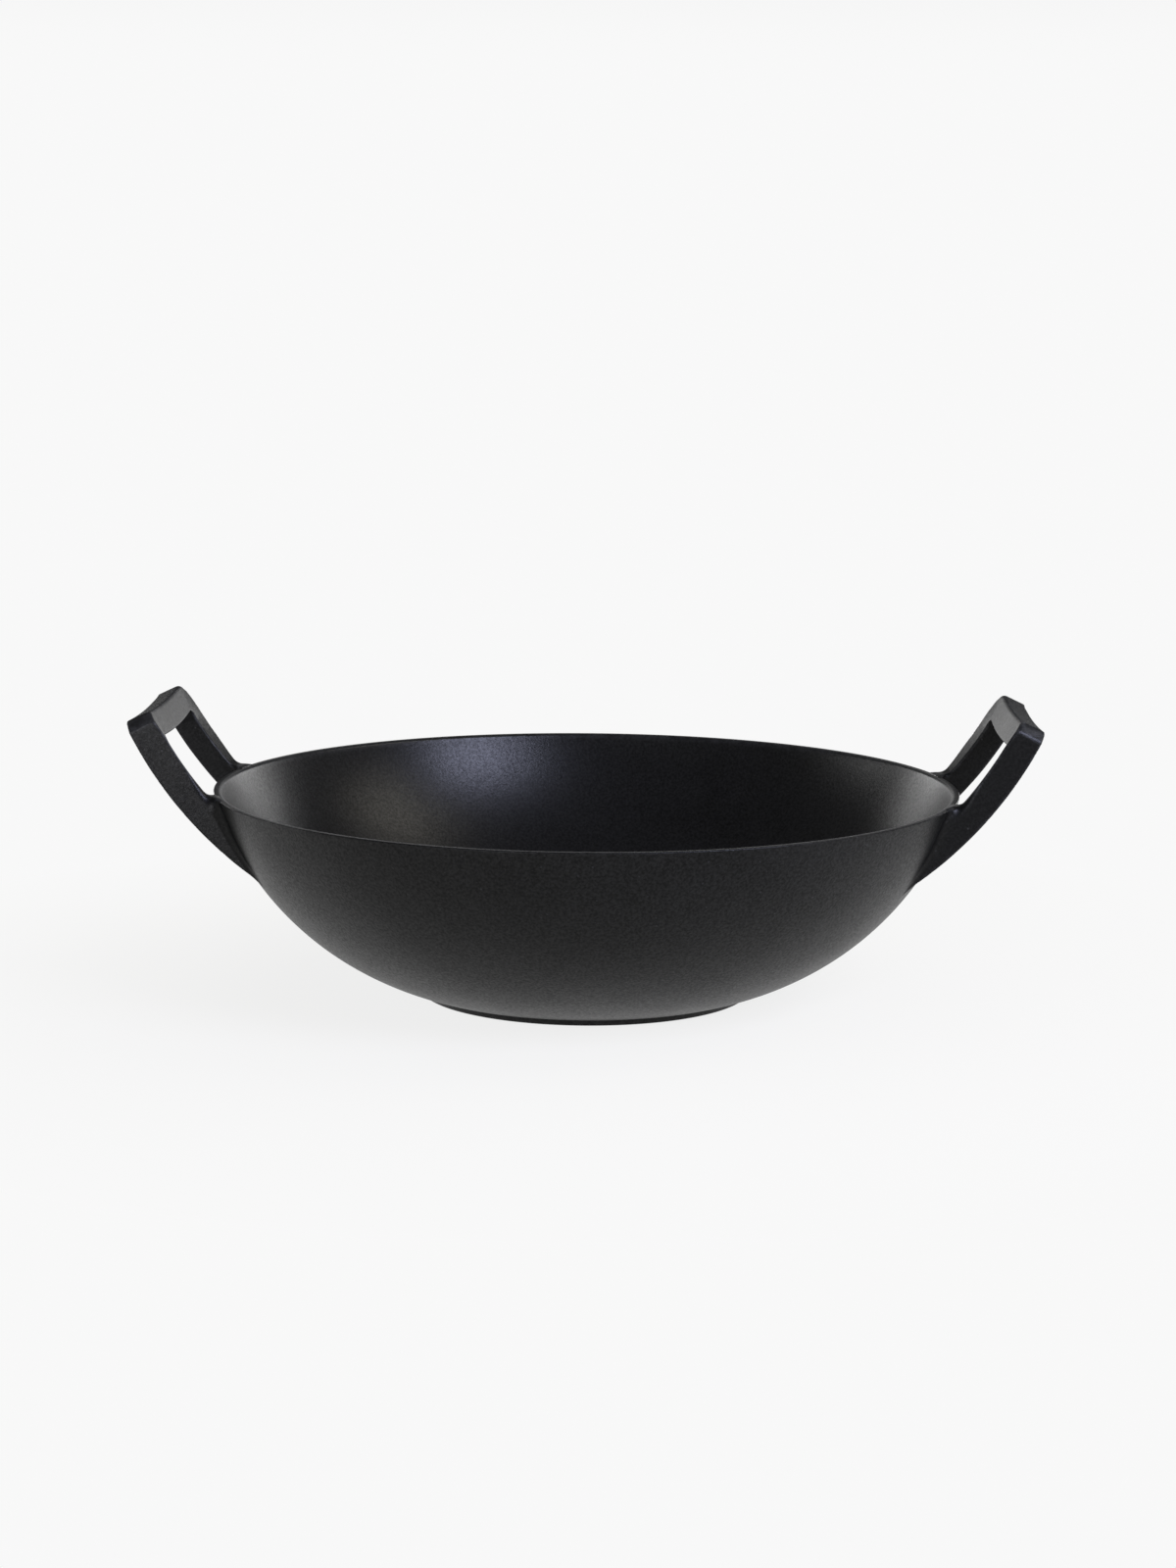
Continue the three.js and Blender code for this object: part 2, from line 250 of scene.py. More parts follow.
@dataclass(frozen=True)
class Bowl:
    """The wall, the rounded rim and the flat inner floor, as one turned profile."""

    wall: Wall
    floor_height: float = 5.5
    floor_blend: float = 14.0
    # Paler colour on the rim's inner edge: partly rubbed, partly a painted highlight along the rim.
    rim_wear_and_glint: float = 0.4
    sides: int = 320
    wall_steps: int = 72
    rim_steps: int = 9
    blend_steps: int = 14
    floor_steps: int = 8

    def rim(self, inset: float, edge: float, sense: float) -> Array:
        """Rounded edge of the rim, along one face of the wall.

        Formula: at a turn t of the quarter round, the point lies e(1 - cos t) inside the face and
        e(1 - sin t) below the top, for an edge radius e.

        Args:
            inset: Distance of the face from the outer face.
            edge: Radius of the edge.
            sense: 1 for the face that looks away from the axis, and -1 for the other.

        Returns:
            Distances from the axis and heights, from the face up to the top.
        """
        turn = np.linspace(0.0, np.pi / 2.0, self.rim_steps)
        height = self.wall.rim_height - edge * (1.0 - np.sin(turn))
        reach = self.wall.reach(inset + sense * edge * (1.0 - np.cos(turn)), height)
        return np.stack([reach, height], axis=-1)

    def face(self, inset: float, edge: float) -> Array:
        """One face of the wall, from the spoke through the foot's step up to the rim's edge.

        Formula: points at even angles on the wall's arc, drawn in by the inset.

        Args:
            inset: Distance of the face from the outer face.
            edge: Radius of the rim's edge on this face.

        Returns:
            Distances from the axis and heights, from low to high.
        """
        x, z = self.wall.centre
        radius = self.wall.arc_radius - inset
        low = math.asin((self.wall.foot_height - z) / self.wall.arc_radius)
        high = math.asin((self.wall.rim_height - edge - z) / radius)
        angle = np.linspace(low, high, self.wall_steps)
        return np.stack([x + radius * np.cos(angle), z + radius * np.sin(angle)], axis=-1)

    def floor(self, start: Array) -> Array:
        """Inner floor, from the foot of the inner face to the axis.

        Formula: a parabola whose control point is where the wall's slope meets the floor's level, and
        then a line.

        Args:
            start: Distance from the axis and height of the inner face's lowest point.

        Returns:
            Distances from the axis and heights, from the wall to the axis.
        """
        slope = (self.wall.centre[1] - self.wall.foot_height) / self.wall.arc_radius
        run = (start[1] - self.floor_height) * slope / math.sqrt(1.0 - slope**2)
        corner = np.array([start[0] - run, self.floor_height])
        end = corner - np.array([self.floor_blend, 0.0])
        share = np.linspace(0.0, 1.0, self.blend_steps)[1:, None]
        blend = start * (1 - share) ** 2 + corner * 2 * share * (1 - share) + end * share**2
        middle = np.array([0.0, self.floor_height])
        near = np.linspace(1.0, 0.0, self.floor_steps)[1:, None]
        far = np.linspace(0.0, 1.0, self.floor_steps)[1:, None]
        return np.concatenate([blend, end * near + middle * far])

    def surface(self) -> Surface:
        """The turned skin, with wear and painted highlight on the rim's inner edge, and its own finish
        inside.

        Returns:
            The closed skin, whose faces from the rim's inner edge on are the cooking surface.
        """
        wall = self.wall
        outer = self.face(0.0, wall.rim_edge)
        inner = self.face(wall.thickness, wall.rim_inner_edge)[::-1]
        outward = self.rim(0.0, wall.rim_edge, 1.0)
        inward = self.rim(wall.thickness, wall.rim_inner_edge, -1.0)[::-1]
        under = np.array([[0.0, wall.foot_height], [wall.foot_radius / 2.0, wall.foot_height]])
        lines = [under, outer, outward[1:], inward, inner[1:], self.floor(inner[-1])]
        # Only the rim's inner edge is paler, partly rubbed and partly a painted highlight along the rim.
        worn_and_glint = [0.0, 0.0, 0.0, self.rim_wear_and_glint, 0.0, 0.0]
        wear_and_glint = np.concatenate([np.full(len(line), share) for line, share in zip(lines, worn_and_glint)])
        profile = np.concatenate(lines)
        turn = sum(len(line) for line in lines[:3])
        zones = np.where(np.arange(len(profile) - 1) < turn, Zone.OUTSIDE.value, Zone.COOKING.value)
        return revolve(profile, wear_and_glint, zones, self.sides)

    def build(self, finishes: dict[Zone, "IronFinish"]) -> bpy.types.Object:
        """Makes the piece and dresses its outside and its cooking surface.

        Args:
            finishes: Finish of each zone.

        Returns:
            The piece that stands for the CAD bowl.
        """
        piece = self.surface().to_piece("cast_bowl", [finishes[zone].material() for zone in Zone])
        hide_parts("bowl")
        return piece


@dataclass(frozen=True)
class Foot:
    """The low flat disc under the bowl, with a drafted side that flares into the bowl."""

    wall: Wall
    base_radius: float = 79.2
    edge: float = 0.7
    edge_wear: float = 0.6
    cove: float = 1.3
    sides: int = 320
    round_steps: int = 6

    def surface(self) -> Surface:
        """The turned skin.

        Formula: a quarter round of the edge's radius at the bottom, the drafted side, and a hollow
        quarter round of the cove's radius at the top.

        Returns:
            The closed skin.
        """
        top = self.wall.foot_height
        turn = np.linspace(0.0, np.pi / 2.0, self.round_steps)
        rise, run = 1.0 - np.cos(turn), 1.0 - np.sin(turn)
        low = np.stack([self.base_radius - self.edge * run, self.edge * rise], axis=-1)
        flare = np.stack([self.wall.foot_radius + self.cove * rise, top - self.cove * run], axis=-1)
        under = np.array([[0.0, 0.0], [self.base_radius / 2.0, 0.0]])
        over = np.array([[self.wall.foot_radius / 2.0, top], [0.0, top]])
        lines = [under, low, flare, over]
        worn_and_glint = [0.0, self.edge_wear, 0.0, 0.0]
        edge = np.concatenate([np.full(len(line), wear_and_glint) for line, wear_and_glint in zip(lines, worn_and_glint)])
        profile = np.concatenate(lines)
        zones = np.full(len(profile) - 1, Zone.OUTSIDE.value)
        return revolve(profile, edge, zones, self.sides)

    def build(self, finish: "IronFinish") -> bpy.types.Object:
        """Makes the piece and dresses it.

        Args:
            finish: Finish of the whole foot.

        Returns:
            The piece that stands for the CAD foot.
        """
        piece = self.surface().to_piece("cast_foot", [finish.material()])
        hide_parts("foot")
        return piece


@dataclass(frozen=True)
class LoopHandle:
    """A loop of two arms and a saddle-shaped grip that grows out of the wall and the rim.

    The loop is a curved plate with a window, and it flows into the wall on every side. Neither a grid of
    two parameters nor a carried profile can follow that, so its skin is where a field of distances is
    nought.
    """

    wall: Wall
    turn: Turn
    reach: float = 35.5
    rise: float = 35.5
    lean: float = math.radians(25.5)
    sweep_radius: float = 186.0
    width: float = 108.8
    splay: float = math.radians(3.0)
    arm_depth: float = 14.3
    arm_thickness: float = 10.0
    inner_draft: float = 2.2
    outer_draft: float = 0.6
    ear_depth: float = 12.4
    ear_bevel_inset: float = 3.8
    ear_bevel_drop: float = 4.8
    ear_run: float = 20.0
    grip_height: float = 14.0
    grip_sag: float = 1.8
    saddle_dip: float = 1.3
    window_corner: float = 3.0
    edge: float = 0.8
    grip_edge: float = 1.3
    grip_edge_drop: float = 12.0
    ear_flank: float = 0.6
    # Paler colour along the ears' bevel lines: partly rubbed, partly a painted glint.
    ear_wear_and_glint: float = 0.8
    root_edge: float = 3.0
    root_edge_height: float = 16.0
    bevel_edge: float = 2.0
    cove: float = 6.5
    cove_low: float = 2.0
    cove_depth: float = 14.0
    skirt: float = 2.0
    sink: float = 0.03
    sink_span: Span = (0.8, 1.0)
    step: float = 0.8
    net_reach: float = 0.74
    net_height: float = 0.5
    net_margin: float = 6.0
    settle_rounds: int = 4
    settle_reach: float = 0.05
    settle_slope: float = 0.25
    settle_move: float = 0.5
    normal_reach: float = 0.25
    matt_turn: Span = (0.6, 0.9)
    matt_drop: Span = (4.0, 8.0)
    bevel_line: Span = (0.3, 0.9)
    worn_bend: Span = (0.25, 0.7)

    @property
    def name(self) -> str:
        """Name that the handle's pieces and nodes begin with."""
        return f"{self.turn.name.lower()}_handle"

    @property
    def sweep_centre(self) -> tuple[float, float]:
        """Centre of the arc that the plate's outer face follows.

        Returns:
            Its distance along X and its height.
        """
        tip_x = self.wall.rim_radius + self.reach
        tip_z = self.wall.rim_height + self.rise
        return (
            tip_x - self.sweep_radius * math.cos(self.lean),
            tip_z + self.sweep_radius * math.sin(self.lean),
        )

    def half_width(self, z: Array) -> Array:
        """Half the width of the handle at a height, over both arms' outer faces."""
        return self.width / 2.0 - (z - self.wall.rim_height) * math.tan(self.splay)

    def place(self, x: Array, y: Array, z: Array) -> tuple[Array, Array, Array]:
        """Place of a point on the plate.

        Formula: the depth inward from the sweep's arc, the distance down along the arc from the tip, and
        the distance across from the outer face of the nearer arm.

        Args:
            x: Distance towards the right handle.
            y: Distance away from the viewer.
            z: Height.

        Returns:
            The depth inward, the distance down and the distance across.
        """
        centre_x, centre_z = self.sweep_centre
        inward = self.sweep_radius - np.hypot(x - centre_x, z - centre_z)
        down = (np.arctan2(centre_z - z, x - centre_x) - self.lean) * self.sweep_radius
        return inward, down, (self.half_width(z) - np.abs(y)) * math.cos(self.splay)

    def bevel(self, down: Array, across: Array) -> Array:
        """Field of what lies beyond the bevel on an ear's outer corner, a line down across the place."""
        fall = self.ear_bevel_drop / self.ear_bevel_inset
        return (fall * (self.ear_bevel_inset - across) - down) / math.hypot(fall, 1.0)

    def plate(self, x: Array, y: Array, z: Array) -> tuple[Array, Array]:
        """Plate of the right handle, with its window.

        Formula: by its place on the plate, a point of the body lies between the arc and the face towards
        the bowl, inside both arms' outer faces and below the top line, which dips as a parabola between
        the ears and drops along the bevel at the ears. Its edges are rounded, the most along the grip's
        top and at the roots. The window lies between the arms and below the grip, which sags as a
        parabola too.

        Args:
            x: Distance towards the right handle.
            y: Distance away from the viewer.
            z: Height.

        Returns:
            The plate's field and the depth inward.
        """
        inward, down, across = self.place(x, y, z)
        share = np.clip(across / self.arm_thickness, 0.0, 1.0)
        ear = np.clip(down / self.ear_run, 0.0, 1.0)
        draft = self.inner_draft * share * ear
        inner = inward - (self.arm_depth - (self.arm_depth - self.ear_depth) * (1.0 - ear) ** 2 - draft)
        outer = self.outer_draft * share - inward
        along = np.clip(y / (self.half_width(z) - self.ear_bevel_inset), -1.0, 1.0)
        bow = 1.0 - along**2
        dip = bow * self.saddle_dip
        sag = self.grip_height + bow * self.grip_sag
        flank = round_max(-across, self.bevel(down, across), self.ear_flank)
        outline = round_max(flank, dip - down, self.bevel_edge)
        window = round_max(self.arm_thickness - across, sag - down, self.window_corner)
        crown = self.grip_edge * (1.0 - smooth_step(0.0, self.grip_edge_drop, down))
        root = self.root_edge * (1.0 - smooth_step(0.0, self.root_edge_height, z - self.wall.rim_height))
        rounding = self.edge + np.maximum(crown, root)
        body = round_max(round_max(outer, outline, self.edge), inner, rounding)
        return round_max(body, -window, self.edge), inward

    def skin_field(self, points: Array) -> Array:
        """Field whose nought is the right handle's skin, closed by a hidden face just inside the wall.

        Formula: the plate joins the wall and the rim with a hollow cove, which is low at the arms'
        underside and grows with the depth. Beyond the cove the skin sinks a hair below the wall.

        Args:
            points: Points, one row each.

        Returns:
            The field at each point.
        """
        x, y, z = points.T
        plate, inward = self.plate(x, y, z)
        growth = np.clip(inward / self.cove_depth, 0.0, 1.0)
        cove = self.cove_low + (self.cove - self.cove_low) * growth
        skin = round_min(plate, self.wall.capped(x, y, z), cove)
        skin = skin + self.sink * smooth_step(*self.sink_span, plate / cove)
        hidden = np.maximum(-self.wall.depth(x, y, z) - self.skirt, plate - cove)
        return np.maximum(skin, hidden)

    def slopes(self, points: Array, reach: float) -> tuple[Array, Array]:
        """Gradient and curvature of the skin's field.

        Formula: differences between the field a small reach ahead and behind along each axis, and the
        sum of both less twice the field itself.

        Args:
            points: Points, one row each.
            reach: Distance of the samples from each point.

        Returns:
            The gradient at each point, and the sum of the field's second differences.
        """
        offsets = np.eye(3) * reach
        ahead = np.stack([self.skin_field(points + offset) for offset in offsets], axis=-1)
        behind = np.stack([self.skin_field(points - offset) for offset in offsets], axis=-1)
        bend = (ahead + behind - 2.0 * self.skin_field(points)[:, None]).sum(axis=1) / reach**2
        return (ahead - behind) / (2.0 * reach), bend

    def surface(self) -> Surface:
        """The skin of the handle, with its points on the field's nought and its normals from the field.

        Formula: a net of quads over the cells of a grid where the field changes sign. Each point is then
        moved along the gradient by the field over the gradient's length. Edges are rubbed paler where the
        field bends. The lines of the ears' bevels get a paler line that is partly rubbed and partly a
        painted glint, and the top that looks up along the sweep is matt. The left handle is the right one
        turned half a turn.

        Returns:
            The closed skin.
        """
        rim, top = self.wall.rim_radius, self.wall.rim_height + self.rise
        side = self.width / 2.0 + 2.0 * self.cove
        low = np.array([self.net_reach * rim, -side, self.net_height * self.wall.rim_height])
        high = np.array([rim + self.reach, side, top]) + self.net_margin * self.step
        axes = [np.arange(start, stop, self.step) for start, stop in zip(low, high)]
        grid = np.stack(np.meshgrid(*axes, indexing="ij"), axis=-1)
        values = self.skin_field(grid.reshape(-1, 3)).reshape(grid.shape[:3])
        points, quads = surface_net(values)
        points = low + points * self.step
        for _ in range(self.settle_rounds):
            gradient, _bend = self.slopes(points, self.settle_reach)
            length = np.maximum((gradient**2).sum(axis=1, keepdims=True), self.settle_slope)
            move = self.skin_field(points)[:, None] * gradient / length
            points = points - np.clip(move, -self.settle_move * self.step, self.settle_move * self.step)
        gradient, bend = self.slopes(points, self.normal_reach)
        normals = gradient / np.maximum(np.linalg.norm(gradient, axis=1, keepdims=True), TINY)
        x, y, z = points.T
        _inward, down, across = self.place(x, y, z)
        centre_x, centre_z = self.sweep_centre
        along = np.stack([centre_z - z, np.zeros_like(y), x - centre_x], axis=-1)
        upward = (normals * along).sum(axis=1) / np.linalg.norm(along, axis=1)
        matt = smooth_step(*self.matt_turn, upward) * (1.0 - smooth_step(*self.matt_drop, down))
        # Paler line along each ear's bevel line: partly rubbed edge, partly a painted glint.
        line = smooth_step(*self.bevel_line, np.abs(self.bevel(down, across)))
        ears = self.ear_wear_and_glint * (1.0 - line)
        sense = np.array([self.turn.value, self.turn.value, 1.0])
        return Surface(
            vertices=points * sense,
            quads=quads,
            triangles=np.zeros((0, 3), np.int64),
            edge=np.maximum(smooth_step(*self.worn_bend, bend), ears),
            zones=np.zeros(len(quads), np.int64),
            matt=matt,
            normals=normals * sense,
        )

    def build(self, finish: "IronFinish") -> bpy.types.Object:
        """Makes the piece and dresses it.

        Args:
            finish: Finish of the whole handle.

        Returns:
            The piece that stands for the CAD arms and grip.
        """
        piece = self.surface().to_piece(f"cast_{self.name}", [finish.material()])
        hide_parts(f"{self.name}_front_arm", f"{self.name}_rear_arm", f"{self.name}_grip")
        return piece


def surface_net(values: Array) -> tuple[Array, Indices]:
    """Net of quads where a field on a grid changes sign, with faces towards the positive side.

    Formula: each cell that the surface crosses gets one point, the mean of the crossings on its twelve
    edges. Each grid edge that the surface crosses gets one quad, between the points of the four cells
    round it.

    Args:
        values: Field at each grid point.

    Returns:
        Points in grid steps, and the corners of the quads.
    """
    cells = tuple(count - 1 for count in values.shape)
    total = np.zeros((*cells, 3))
    count = np.zeros(cells)
    inside = values < 0.0
    crossings = []
    for axis in range(3):
        order = (axis, (axis + 1) % 3, (axis + 2) % 3)
        field, within = values.transpose(order), inside.transpose(order)
        crossing = within[:-1] != within[1:]
        share = np.where(crossing, field[:-1] / np.where(crossing, field[:-1] - field[1:], 1.0), 0.0)
        sums, counts = total.transpose(*order, 3), count.transpose(order)
        for side in ((0, 0), (0, 1), (1, 0), (1, 1)):
            part = tuple(slice(s, n - 1 + s) for s, n in zip(side, field.shape[1:]))
            met = crossing[:, part[0], part[1]]
            counts += met
            sums[..., axis] += np.where(met, share[:, part[0], part[1]], 0.0)
            sums[..., order[1]] += met * side[0]
            sums[..., order[2]] += met * side[1]
        crossings.append((order, crossing, within))
    active = count > 0
    index = np.full(cells, -1)
    index[active] = np.arange(active.sum())
    points = total[active] / count[active][:, None] + np.argwhere(active)
    quads = []
    for order, crossing, within in crossings:
        place = index.transpose(order)
        met = crossing[:, 1:-1, 1:-1]
        cells_round = (place[:, :-1, :-1], place[:, 1:, :-1], place[:, 1:, 1:], place[:, :-1, 1:])
        around = np.stack([cell[met] for cell in cells_round], axis=-1)
        leaves = within[:-1, 1:-1, 1:-1][met]
        quads.append(np.where(leaves[:, None], around, around[:, ::-1]))
    return points, np.concatenate(quads)


@dataclass(frozen=True)
class Board:
    """A node tree with short calls that add and link nodes."""

    tree: bpy.types.NodeTree

    def add(self, kind: str, settings: dict[str, Any] | None = None, **inputs: Any) -> bpy.types.Node:
        """Adds one node.

        Args:
            kind: Blender's name of the node type.
            settings: Values of the node's own properties.
            inputs: Values or sockets for its inputs, by name with _ for a space, or by place as p0, p1
                and so on.

        Returns:
            The node.
        """
        node = self.tree.nodes.new(kind)
        for name, value in (settings or {}).items():
            setattr(node, name, value)
        for name, value in inputs.items():
            place = name[1:]
            socket = node.inputs[int(place) if place.isdigit() else name.replace("_", " ")]
            if isinstance(value, bpy.types.NodeSocket):
                self.tree.links.new(value, socket)
            else:
                socket.default_value = value
        return node

    def math(self, operation: str, *terms: Any) -> bpy.types.NodeSocket:
        """Result of one arithmetic operation on numbers or sockets."""
        places = {f"p{place}": term for place, term in enumerate(terms)}
        return self.add("ShaderNodeMath", {"operation": operation}, **places).outputs[0]

    def between(self, value: Any, low: float, high: float) -> bpy.types.NodeSocket:
        """Number that goes from low to high as a value goes from 0 to 1."""
        return self.add("ShaderNodeMapRange", Value=value, To_Min=low, To_Max=high).outputs[0]

    def blend(self, share: Any, first: Any, second: Any) -> bpy.types.NodeSocket:
        """Colour that goes from the first to the second as a share goes from 0 to 1."""
        return self.add("ShaderNodeMix", {"data_type": "RGBA"}, p0=share, p6=first, p7=second).outputs[2]

    def mix(self, share: Any, first: Any, second: Any) -> bpy.types.NodeSocket:
        """Number that goes from the first to the second as a share goes from 0 to 1."""
        return self.add("ShaderNodeMix", {"data_type": "FLOAT"}, p0=share, p2=first, p3=second).outputs[0]

    def spread(self, value: Any, span: Span) -> bpy.types.NodeSocket:
        """Number that goes from 0 to 1 as a value goes through a span."""
        return self.add("ShaderNodeMapRange", Value=value, From_Min=span[0], From_Max=span[1]).outputs[0]

    def noise(self, place: Any, scale: Any, detail: float, **more: float) -> bpy.types.NodeSocket:
        """Cloudy noise from 0 to 1, at a count to the metre."""
        return self.add("ShaderNodeTexNoise", Vector=place, Scale=scale, Detail=detail, **more).outputs[0]

    def attribute(self, name: str) -> bpy.types.NodeSocket:
        """Number that each point of a piece carries under a name."""
        return self.add("ShaderNodeAttribute", {"attribute_name": name}).outputs["Fac"]

    def group(self, tree: bpy.types.NodeTree, **inputs: Any) -> bpy.types.NodeOutputs:
        """Outputs of a node group with the given inputs."""
        return self.add("ShaderNodeGroup", {"node_tree": tree}, **inputs).outputs


def new_group(
    name: str, inputs: dict[str, str], outputs: dict[str, str]
) -> tuple[Board, bpy.types.NodeOutputs, bpy.types.Node]:
    """Starts a shader node group.

    Args:
        name: Name of the group.
        inputs: Socket type of each input.
        outputs: Socket type of each output.

    Returns:
        The group's board, its input sockets by name, and its output node.
    """
    tree = bpy.data.node_groups.new(name, "ShaderNodeTree")
    for direction, sockets in (("INPUT", inputs), ("OUTPUT", outputs)):
        for socket, kind in sockets.items():
            tree.interface.new_socket(name=socket, in_out=direction, socket_type=kind)
    board = Board(tree)
    return board, board.add("NodeGroupInput").outputs, board.add("NodeGroupOutput")


def cast_grain_group() -> bpy.types.NodeTree:
    """Grain of a sand casting under its seasoning: fine, on a wider swell, with sparse pale specks.

    Returns:
        The group, built once. It takes Position, and Grain and Specks, which are counts to the metre,
        and gives Height, Speck and Mottle.
    """
    name = "cast_grain"
    if name in bpy.data.node_groups:
        return bpy.data.node_groups[name]
    board, given, out = new_group(
        name,
        {"Position": "NodeSocketVector", "Grain": "NodeSocketFloat", "Specks": "NodeSocketFloat"},
        {"Height": "NodeSocketFloat", "Speck": "NodeSocketFloat", "Mottle": "NodeSocketFloat"},
    )
    place = given["Position"]
    fine = board.noise(place, given["Grain"], detail=2.0, Roughness=0.55)
    wide = board.noise(place, board.math("MULTIPLY", given["Grain"], SWELL_SCALE), detail=1.0)
    height = board.math("ADD", fine, board.math("MULTIPLY", wide, SWELL_HEIGHT))
    spots = board.add("ShaderNodeTexVoronoi", Vector=place, Scale=given["Specks"])
    ragged = board.math("MULTIPLY_ADD", fine, SPECK_RAGGEDNESS, spots.outputs["Distance"])
    speck = board.math("LESS_THAN", ragged, SPECK_REACH)
    blots_scale = board.math("MULTIPLY", given["Grain"], MOTTLE_SCALE)
    blots = board.noise(place, blots_scale, detail=3.0, Roughness=0.6)
    board.tree.links.new(board.spread(blots, MOTTLE_SPAN), out.inputs["Mottle"])
    board.tree.links.new(height, out.inputs["Height"])
    board.tree.links.new(speck, out.inputs["Speck"])
    return board.tree


def seasoning_group() -> bpy.types.NodeTree:
    """Uneven film of baked oil: soft patches where the surface is a little paler and smoother.

    Returns:
        The group, built once. It takes Position and Patches, a count to the metre, and gives Film and
        the smaller patches Rub, both from 0 to 1.
    """
    name = "seasoning_film"
    if name in bpy.data.node_groups:
        return bpy.data.node_groups[name]
    board, given, out = new_group(
        name,
        {"Position": "NodeSocketVector", "Patches": "NodeSocketFloat"},
        {"Film": "NodeSocketFloat", "Rub": "NodeSocketFloat"},
    )
    place = given["Position"]
    wide = board.noise(place, given["Patches"], detail=4.0, Roughness=0.6, Distortion=0.4)
    fine_scale = board.math("MULTIPLY", given["Patches"], RUB_SCALE)
    fine = board.noise(place, fine_scale, detail=3.0, Roughness=0.6)
    board.tree.links.new(board.spread(wide, FILM_SPAN), out.inputs["Film"])
    board.tree.links.new(board.spread(fine, RUB_SPAN), out.inputs["Rub"])
    return board.tree


@dataclass(frozen=True)
class IronFinish:
    """Seasoned cast iron, near black: grain, uneven oil film, pale specks, rubbed edges, painted glints.
    """

    name: str
    dark: Colour = (0.0004, 0.0004, 0.0004)
    pale: Colour = (0.0115, 0.0114, 0.0112)
    # Paler colour of rubbed edges, also a painted glint on the rim and the ears' bevel lines.
    worn_and_glint: Colour = (0.032, 0.032, 0.032)
    dust: Colour = (0.024, 0.024, 0.024)
    rough_low: float = 0.34
    rough_high: float = 0.46
    rough_matt: float = 0.8
    specular: float = 0.12
    film: float = 0.15
    film_rough: float = 0.36
    wear_least: float = 0.35
    mottle_share: float = 0.6
    grain: float = 1000.0
    grain_height: float = 0.00009
    patches: float = 28.0
    specks: float = 150.0

    def material(self) -> bpy.types.Material:
        """The finish as a material, made once.

        Returns:
            A material with one Principled BSDF, whose pattern follows Object coordinates.
        """
        if self.name in bpy.data.materials:
            return bpy.data.materials[self.name]
        material = bpy.data.materials.new(self.name)
        material.use_nodes = True
        material.node_tree.nodes.clear()
        board = Board(material.node_tree)
        place = board.add("ShaderNodeTexCoord").outputs["Object"]
        grain = board.group(cast_grain_group(), Position=place, Grain=self.grain, Specks=self.specks)
        oil = board.group(seasoning_group(), Position=place, Patches=self.patches)
        matt = board.attribute(MATT)
        # Rubbed edges, and the painted glints on the rim and the ears' bevel lines, take the paler
        # colour.
        rubbed = board.between(oil["Rub"], self.wear_least, 1.0)
        wear_and_glint = board.math("MULTIPLY", board.attribute(WEAR_AND_GLINT), rubbed)
        wide = board.math("MULTIPLY", oil["Film"], 1.0 - self.mottle_share)
        shade = board.math("MULTIPLY_ADD", grain["Mottle"], self.mottle_share, wide)
        colour = board.blend(shade, (*self.dark, 1.0), (*self.pale, 1.0))
        colour = board.blend(wear_and_glint, colour, (*self.worn_and_glint, 1.0))
        colour = board.blend(grain["Speck"], colour, (*self.dust, 1.0))
        bump = board.add(
            "ShaderNodeBump", Strength=1.0, Distance=self.grain_height, Height=grain["Height"]
        )
        rough = board.between(shade, self.rough_high, self.rough_low)
        film = board.between(grain["Mottle"], 0.0, self.film)
        shader = board.add(
            "ShaderNodeBsdfPrincipled",
            Base_Color=colour,
            Roughness=board.mix(matt, rough, self.rough_matt),
            Specular_IOR_Level=self.specular,
            Coat_Weight=board.math("MULTIPLY", film, board.between(matt, 1.0, 0.0)),
            Coat_Roughness=self.film_rough,
            Normal=bump.outputs[0],
        )
        board.add("ShaderNodeOutputMaterial", Surface=shader.outputs[0])
        return material


@dataclass(frozen=True)
class SoftBox:
    """A square lamp that looks at a point from a bearing, measured from the front towards the right."""

    name: str
    bearing: float
    elevation: float
    distance: float
    size: float
    power: float
    colour: Colour
    target: Place = (0.0, 0.0, 0.07)

    def build(self) -> bpy.types.Object:
        """Makes the lamp, which the camera doesn't see.

        Returns:
            The lamp.
        """
        bearing, elevation = math.radians(self.bearing), math.radians(self.elevation)
        away = Vector(
            (
                math.sin(bearing) * math.cos(elevation),
                -math.cos(bearing) * math.cos(elevation),
                math.sin(elevation),
            )
        )
        data = bpy.data.lights.new(self.name, "AREA")
        data.shape = "SQUARE"
        data.size = self.size
        data.energy = self.power
        data.color = self.colour
        lamp = bpy.data.objects.new(self.name, data)
        lamp.location = Vector(self.target) + away * self.distance
        lamp.rotation_euler = away.to_track_quat("Z", "Y").to_euler()
        lamp.visible_camera = False
        bpy.context.scene.collection.objects.link(lamp)
        return lamp


